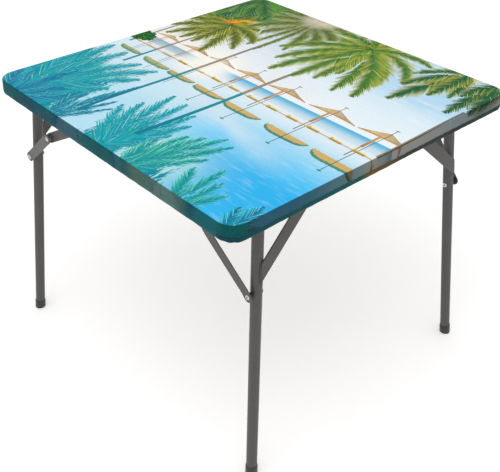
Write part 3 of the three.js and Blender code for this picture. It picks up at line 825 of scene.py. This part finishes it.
def frond_ink(n, under, name, gap, lean, rough, light, dark):
    """Draws one layer of fronds over a colour: a rib, and pointed leaflets that lean towards its tip."""
    u, v, valid, number = n.numbers(f"{name}_place")
    inner, length = n.attribute(f"{name}_inner")
    outer, spread = n.attribute(f"{name}_outer")
    whole = (number - number.round()).abs() < 0.01
    t = u / length
    away = v.abs()
    side = (v > 0.0) * 31.7 + number.round() * 7.31
    swell = ((t * 0.8 + 0.16) * math.pi).sin().most(0.0) ** 0.7
    along = u - away * lean
    strand = n.streak(along / (gap * 0.55), side)
    dice = n.random((along / gap).floor(), side)
    reach = spread * swell * (0.66 + dice * 0.54)
    out = away / reach.most(0.1)
    across = ((along / gap) % 1.0 - 0.5).abs()
    leaflet = (across < (1.16 - out) * 0.62 + (strand - 0.5) * 0.7 + rough) * (out < 1.0)
    rib = away < (1.0 - t) * 1.3 + 0.35
    # Only where the stored numbers belong to one frond, and not to the blend between two.
    on = leaflet.most(rib) * (t > 0.0) * (t < 1.0) * (valid > 0.985) * whole
    # From the rib outwards, with pale and dark strands, a dark gap between leaflets and a darker side.
    shade = n.mix(out.ramp(0.1, 0.85), inner, outer)
    shade = n.mix(strand.ramp(0.5, 0.36) * 0.75, shade, dark)
    shade = n.mix(strand.ramp(0.55, 0.72) * 0.75, shade, light)
    shade = n.mix((across > 0.36) * 0.55, shade, dark)
    shade = n.mix((v < 0.0) * 0.3, shade, dark)
    return n.mix(on, under, shade)


def brush_mass(n, under, inside, tones, pale, grain, loose):
    """A mass of brush strokes along x where inside is positive, ragged at its edge."""
    wide = n.grain(62.0, 11.0, loose)
    fine = n.grain(22.0, 3.0, loose + 4.0)
    slow = n.grain(110.0, 60.0, loose + 9.0)
    on = (inside + (wide - 0.5) * 150.0 + (fine - 0.5) * 110.0).ramp(-3.0, 3.0)
    tone = n.mix(slow.ramp(0.36, 0.6), tones[0], tones[1])
    tone = n.mix(fine.ramp(0.42, 0.66) * 0.7, tone, tones[2])
    tone = n.mix(wide.ramp(0.56, 0.7) * fine.ramp(0.5, 0.62) * grain, tone, pale)
    return n.mix(on, under, tone)


SHORE_LINE = (-49.0, 0.018)    # the pool's far edge: its x at y = 0, and how it climbs to the left
# Each parasol along the shore: its place, how far its roof reaches each way, and how tall the roof is.
PARASOLS = (
    (-389, 74, 30),
    (-241, 70, 29),
    (-94, 66, 27),
    (28, 60, 25),
    (138, 56, 23),
    (238, 58, 24),
    (352, 50, 20),
)
# Each trunk: its place along the shore, its half width, and where it starts and ends.
TRUNKS = (
    (150, 5.4, -380, 385),
    (-31, 6.0, -350, 366),
    (309, 4.4, -150, 214),
    (408, 4.0, -60, 190),
    (-429, 3.4, -40, 260),
)


def draw_sea_and_sky(n, x, y):
    """From the top down: the sky, the sea, the beach and the pool."""
    sky, _ = n.attribute("sky")
    pool, _ = n.attribute("pool")
    shore = x - y * SHORE_LINE[1] - SHORE_LINE[0]
    left = y.ramp(60.0, 260.0)
    horizon = 6.5
    sea = n.mix(x.ramp(-30.0, 6.0), rgb(206, 228, 238), rgb(84, 182, 224))
    far_sea = n.mix(x.ramp(-30.0, 6.0), rgb(196, 214, 222), rgb(150, 186, 204))
    sea = n.mix(left, sea, far_sea)
    colour = n.mix(x > horizon, sea, sky)
    streaks = n.grain(15.0, 110.0, 2.0)
    colour = n.mix((x > 60.0) * streaks.ramp(0.5, 0.72) * 0.5, colour, rgb(240, 247, 251))
    sand = n.mix(shore.ramp(0.0, 14.0), rgb(232, 236, 226), rgb(228, 240, 246))
    colour = n.mix(shore.ramp(22.0, 14.0), colour, sand)
    ripple = n.grain(11.0, 60.0, 7.0)
    water = n.mix(ripple.ramp(0.48, 0.78) * 0.2, pool, rgb(232, 243, 248))
    return n.mix(shore < 0.0, colour, water)


def draw_parasols(n, colour, x, y):
    """Thatched parasols on their posts, thin poles before them, and both again in the pool."""
    w, half, height, number = n.numbers("parasol")
    whole = (number - number.round()).abs() < 0.01
    clear = y.ramp(340.0, -40.0, 0.62, 1.0)    # fainter towards the left
    eaves, post_top, post_foot = 28.0, 30.0, -84.0
    pole_top, bar_foot, bar_top, bar_reach = 80.0, 76.0, 78.5, 6.0
    reach = (w / half).abs()
    up = (x - eaves) / height
    slope = (1.0 - up.most(0.0) ** 0.8) * half
    roof = whole * (up > reach * reach * -0.12) * (w.abs() < slope)
    straw = n.grain(8.0, 3.0, 5.0).ramp(0.35, 0.65)
    body = n.mix((w > 0.0) * 0.75, rgb(188, 160, 114), rgb(228, 190, 116))
    body = n.mix(straw * 0.5, body, rgb(236, 220, 190))
    body = n.mix(((w / half * 11.0).sin() * 0.5 + 0.5) * 0.25, body, rgb(150, 104, 56))
    body = n.mix((up < 0.16) * 0.7, body, rgb(196, 136, 66))
    body = n.mix(slope - w.abs() < 2.6, body, rgb(140, 102, 56))
    post = whole * (x > post_foot) * (x < post_top) * ((w - 9.0).abs() < 1.6 + (x > -32.0) * 2.0)
    wood = n.mix(x.ramp(-40.0, 20.0), rgb(174, 114, 52), rgb(208, 154, 88))
    wood = n.mix(x < -50.0, wood, rgb(120, 112, 92))
    colour = n.mix(post * clear, colour, wood)
    colour = n.mix(roof * clear.ramp(0.0, 0.7), colour, body)
    # Upside down in the pool.
    ragged = (n.grain(6.0, 3.4, 6.0) - 0.5) * 21.0
    down = y * 0.036 - 98.0 - x + ragged * 0.5
    deep = height * 0.9 * (1.0 - reach ** 5.0) + w * 0.04
    image = whole * (down > 0.0) * (down < deep) * (w.abs() + ragged * 0.4 < half * 0.92)
    wet = n.mix(straw * 0.5, rgb(214, 170, 92), rgb(198, 190, 138))
    wet = n.mix((down > deep - 8.0) * 0.9, wet, rgb(24, 136, 122))
    wet = n.mix((1.0 - clear) * 1.2, wet, rgb(112, 168, 128))
    colour = n.mix(image * clear.ramp(0.0, 0.5), colour, wet)
    pole = whole * (x > clear * -100.0 - 70.0) * (x < pole_top) * (w.abs() < 1.15)
    bar = (x > bar_foot) * (x < bar_top) + (x > -168.0) * (x < -165.0) * (clear > 0.9)
    pole = pole.most(whole * bar * (w.abs() < bar_reach))
    iron = n.mix(x.ramp(-120.0, 20.0), rgb(40, 104, 104), rgb(118, 116, 104))
    return n.mix(pole * clear * 0.95, colour, iron)


def draw_loungers(n, colour, x, y):
    """Loungers in a row along the pool's far edge, each with a raised back, and the edge's coping."""
    shore = x - y * SHORE_LINE[1] - SHORE_LINE[0]
    colour = n.mix(shore.abs() < 1.5, colour, rgb(196, 152, 92))
    step = (y + 24.0) % 66.0    # how far along its own stretch of the row a point is
    bed = (shore > -3.5) * (shore < 5.0) * (step > 8.0) * (step < 42.0)
    bed = bed.most((shore > 0.0) * (shore < 9.0) * (step > 36.0) * (step < 43.0))
    tone = n.mix(shore.ramp(-3.0, 5.0), rgb(150, 116, 36), rgb(222, 190, 66))
    return n.mix(bed * (1.0 - y.ramp(200.0, 330.0) * 0.5), colour, tone)


def draw_trunks(n, colour, x, y):
    """Palm trunks up the print, and down into the pool as reflections. Each tapers and sways a little."""
    far = 9.0
    near = far
    for centre, width, low, high in TRUNKS:
        off = y - centre - (x / 70.0 + centre).sin() * 1.6
        taper = width * (1.0 - (x - low) * (0.25 / (high - low)))
        out = off.abs() / taper + (x < low) * far + (x > high) * far
        near = out.least(near)
    dry = n.mix(x.ramp(20.0, 240.0), rgb(176, 152, 118), rgb(116, 118, 122))
    wet = n.mix(x.ramp(-300.0, -60.0), rgb(0, 128, 160), rgb(0, 160, 164))
    bark = n.mix(x - y * SHORE_LINE[1] < SHORE_LINE[0], dry, wet)
    rings = ((x / 2.6).sin() + 1.0) * 0.10
    bark = n.mix((rings + near.least(1.0) * 0.4) * 0.8, bark, rgb(40, 92, 100))
    return n.mix(near < 1.0, colour, bark)


def draw_glow(n, colour, x, y, cx, cy, radius, tone, strength):
    """A soft round spot of a tone about (cx, cy)."""
    away = ((x - cx) ** 2.0 + (y - cy) ** 2.0) / (radius * radius)
    return n.mix(away.ramp(1.0, 0.0) * strength, colour, tone)


def print_colour(n, x, y):
    """The whole print, as a colour of the pattern point (x, y) in mm."""
    haze = rgb(255, 252, 243)
    colour = draw_sea_and_sky(n, x, y)
    colour = draw_glow(n, colour, x, y, 0.0, 146.0, 110.0, haze, 0.95)
    colour = draw_parasols(n, colour, x, y)
    colour = draw_loungers(n, colour, x, y)
    colour = draw_glow(n, colour, x, y, -4.0, 144.0, 60.0, haze, 0.7)
    _, pool_in = n.attribute("pool")
    pale = rgb(206, 238, 236)
    colour = brush_mass(n, colour, pool_in, (TEAL, TEAL_DEEP, TEAL_GREEN), pale, 1.5, 1.0)
    ragged = n.grain(9.0, 2.2, 51.0, -math.pi / 4) - 0.5
    for k in range(LAYERS):
        colour = frond_ink(n, colour, f"pool_{k}", 15.0, 2.4, ragged * 1.1, TEAL_LIGHT, TEAL_DEEP)
    colour = draw_trunks(n, colour, x, y)
    _, shore_in = n.attribute("sky")
    pale = rgb(198, 204, 120)
    colour = brush_mass(n, colour, shore_in, (LEAF, LEAF_TEAL, LEAF_OLIVE), pale, 0.8, 21.0)
    # The dark hearts of the crowns.
    for (root_x, root_y), *_ in SHORE_FANS[1:3] + SHORE_FANS[5:]:
        colour = draw_glow(n, colour, x, y, root_x, root_y, 62.0, rgb(38, 74, 34), 1.6)
    for k in range(LAYERS):
        colour = frond_ink(n, colour, f"shore_{k}", 9.0, 1.5, ragged * 0.4, LEAF_LIGHT, LEAF_DARK)
    # A bush at the left, the light in the left palms, and the sun behind them.
    leafy = n.grain(7.0, 9.0, 15.0)
    bush = ((x + 12.0) / 34.0) ** 2.0 + ((y - 424.0) / 58.0) ** 2.0 + (leafy - 0.5) * 1.4
    green = n.mix(leafy.ramp(0.4, 0.6), rgb(14, 62, 30), rgb(46, 128, 44))
    colour = n.mix((bush < 0.9) * (x > -46.0), colour, green)
    sun = n.grain(9.0, 26.0, 12.0, math.pi / 4).ramp(0.36, 0.58)
    spot = (((x + y - 566.0) / 22.0) ** 2.0 + ((x - y + 66.0) / 74.0) ** 2.0).ramp(1.5, 0.2)
    colour = n.mix(spot * sun, colour, n.mix(x.ramp(230.0, 300.0), ORANGE, rgb(238, 214, 60)))
    return draw_glow(n, colour, x, y, 424.0, 168.0, 74.0, rgb(255, 238, 220), 0.55)


def printed_polyester():
    """The print on the cloth, painted shade on its skirt, and its weave."""
    n = Nodes("printed_polyester")
    x, y, past, _ = n.numbers("pattern")
    colour = print_colour(n, x, y)
    # Painted shade on the skirt: the print multiplied down, greyed and tinted at the front, dark teal and
    # olive at the left, and along its foot at the front a darker band, partly print and partly painted
    # shade where the hem turns under.
    foot_print_and_shade, _ = n.attribute("hem_print_and_shade")
    front = (y < -CORE) * (past > 0.0)
    left = (x < -CORE) * (past > 0.0)
    grey = n.add("ShaderNodeHueSaturation", {"Saturation": 0.75, "Color": colour}).outputs[0]
    # Painted shade: the skirt's print, greyed at the front, multiplied down to about a quarter.
    dark = n.mix(1.0, n.mix(front, colour, grey), (0.27, 0.27, 0.27, 1), "MULTIPLY")
    tint = n.mix(x.ramp(-300.0, 60.0), (0.28, 0.56, 0.58), (0.96, 0.90, 0.78))
    dark = n.mix(front, dark, n.mix(1.0, dark, tint, "MULTIPLY"))
    cloud = n.grain(110.0, 110.0, 43.0)
    # The left skirt is painted mostly dark teal and olive, standing in for its print in shade.
    olive = y.ramp(-90.0, -150.0) * y.ramp(-320.0, -260.0)
    teal = n.mix(cloud.ramp(0.42, 0.58), rgb(0, 64, 84), rgb(0, 82, 80))
    dark = n.mix(left * (0.8 - olive * 0.25), dark, n.mix(olive, teal, rgb(84, 104, 84)))
    ripple = n.grain(9.0, 9.0, 31.0)
    # The foot's band: dark print colours, partly painted shade where the hem turns under.
    dark = n.mix(front * (past + (ripple - 0.5) * 5.0).ramp(27.0, 28.5), dark, foot_print_and_shade)
    # Past the bend the painted shade takes over from the top's colour.
    colour = n.mix(past.ramp(2.0, 4.6), colour, dark)
    # Two sets of fine diagonal threads.
    threads, pitch = [], 2.3
    for angle in (38, 128):
        c, s = math.cos(math.radians(angle)), math.sin(math.radians(angle))
        threads.append(((x * c + y * s) * (2 * math.pi / pitch)).sin())
    weave = (threads[0] + threads[1]) * 0.25 + 0.5
    mottle = n.grain(3.8, 3.8, 41.0)
    shade = weave * 0.16 + mottle * 0.26 + cloud * 0.10 + 0.76
    grey_shade = n.add("ShaderNodeCombineColor", {0: shade, 1: shade, 2: shade}).outputs[0]
    colour = n.mix(1.0, colour, grey_shade, "MULTIPLY")
    n.set(Base_Color=colour, Roughness=0.6)
    n.shader.inputs["Sheen Weight"].default_value = 0.02
    n.shader.inputs["Sheen Roughness"].default_value = 0.4
    n.shader.inputs["Specular IOR Level"].default_value = 0.06
    n.bump(weave + mottle * 0.5, 0.35, 0.0003)
    return n.material


def powder_coat():
    """Grey-black powder coat with a fine orange-peel texture."""
    n = Nodes("powder_coated_steel")
    grain = n.noise(1500.0, 2.0)
    wide = n.noise(14.0, 4.0)
    colour = n.mix(grain.ramp(0.35, 0.65), (0.041, 0.039, 0.036), (0.077, 0.074, 0.070))
    colour = n.mix(wide.ramp(0.45, 0.75) * 0.35, colour, (0.10, 0.098, 0.094))
    n.set(Base_Color=colour, Roughness=wide * 0.2 + 0.38)
    n.bump(grain, 0.25, 0.0002)
    return n.material


def black_plastic():
    """Moulded plastic, scuffed where it meets the floor."""
    n = Nodes("black_plastic")
    grain = n.noise(900.0, 2.0)
    height = n.split(n.position())[2]
    scuff = height.ramp(0.012, 0.0) * n.noise(240.0, 5.0).ramp(0.48, 0.66)
    colour = n.mix(grain, (0.012, 0.012, 0.013), (0.024, 0.024, 0.025))
    colour = n.mix(scuff, colour, (0.11, 0.105, 0.10))
    n.set(Base_Color=colour, Roughness=grain * 0.2 + 0.34)
    n.bump(grain, 0.3, 0.0002)
    return n.material


def bright_zinc():
    """Rivets and pins: bright zinc, brushed along x."""
    n = Nodes("bright_zinc")
    x, y, z = n.split(n.position())
    brushed = n.noise(700.0, 3.0, n.vector(x * 0.1, y, z))
    colour = n.mix(brushed, (0.46, 0.46, 0.45), (0.64, 0.64, 0.62))
    n.set(Base_Color=colour, Roughness=brushed * 0.16 + 0.18)
    n.shader.inputs["Metallic"].default_value = 1.0
    n.bump(brushed, 0.12, 0.0001)
    return n.material


def zinc_plate():
    """Saddles and screws: zinc plate with a faint spangle."""
    n = Nodes("zinc_plate")
    spangle = n.add("ShaderNodeTexVoronoi", {"Vector": n.position(), "Scale": 260.0}).outputs["Color"]
    tone = Value(n, n.add("ShaderNodeSeparateColor", {0: spangle}).outputs[0])
    colour = n.mix(tone, (0.46, 0.46, 0.44), (0.62, 0.61, 0.58))
    n.set(Base_Color=colour, Roughness=n.noise(300.0) * 0.25 + 0.3)
    n.shader.inputs["Metallic"].default_value = 1.0
    n.bump(tone, 0.08, 0.0001)
    return n.material


def hardboard():
    """The board: pressed fibres with wide, faint blotches."""
    n = Nodes("board")
    x, y, z = n.split(n.position())
    fibre = n.noise(420.0, 6.0, n.vector(x, y * 0.25, z), roughness=0.7)
    wide = n.noise(22.0, 4.0)
    colour = n.mix(fibre.ramp(0.35, 0.68), (0.13, 0.082, 0.048), (0.30, 0.205, 0.13))
    colour = n.mix(wide * 0.35, colour, (0.20, 0.14, 0.09))
    n.set(Base_Color=colour, Roughness=0.72)
    n.bump(fibre, 0.3, 0.0004)
    return n.material


def knitted_elastic():
    """Cream elastic with ribs along its length."""
    n = Nodes("elastic")
    inputs = {"Vector": n.position(), "Scale": 380.0, "Distortion": 1.5, "Detail": 2.0}
    ribs = Value(n, n.add("ShaderNodeTexWave", inputs, bands_direction="Z").outputs["Fac"])
    colour = n.mix(ribs, (0.62, 0.61, 0.57), (0.86, 0.85, 0.81))
    n.set(Base_Color=colour, Roughness=0.85)
    n.bump(ribs, 0.5, 0.0003)
    return n.material


def sewing_thread():
    """Twisted thread, dyed to match the skirt."""
    n = Nodes("sewing_thread")
    twist = n.noise(2600.0, 2.0)
    colour = n.mix(twist, (0.010, 0.060, 0.070), (0.030, 0.115, 0.125))
    n.set(Base_Color=colour, Roughness=twist * 0.2 + 0.55)
    n.bump(twist, 0.4, 0.0001)
    return n.material


def dress_cad_nodes():
    """Gives every CAD node that is kept its material, by the record's material slot."""
    materials = {
        "powder_coated_steel": powder_coat(),
        "black_plastic": black_plastic(),
        "bright_zinc": bright_zinc(),
        "zinc_plate": zinc_plate(),
        "board": hardboard(),
        "elastic": knitted_elastic(),
    }
    for part in frame["record"]["subparts"]:
        if part["material_slot"] in materials:
            for slot in frame["nodes"][part["node"]].material_slots:
                slot.material = materials[part["material_slot"]]
    return materials


add_camera()
add_stage()
materials = dress_cad_nodes()
add_cloth([add_elastic(materials["elastic"]), add_hem_stitching(sewing_thread())])
add_bracket_screws(materials["zinc_plate"])
add_weld_beads(materials["powder_coated_steel"])
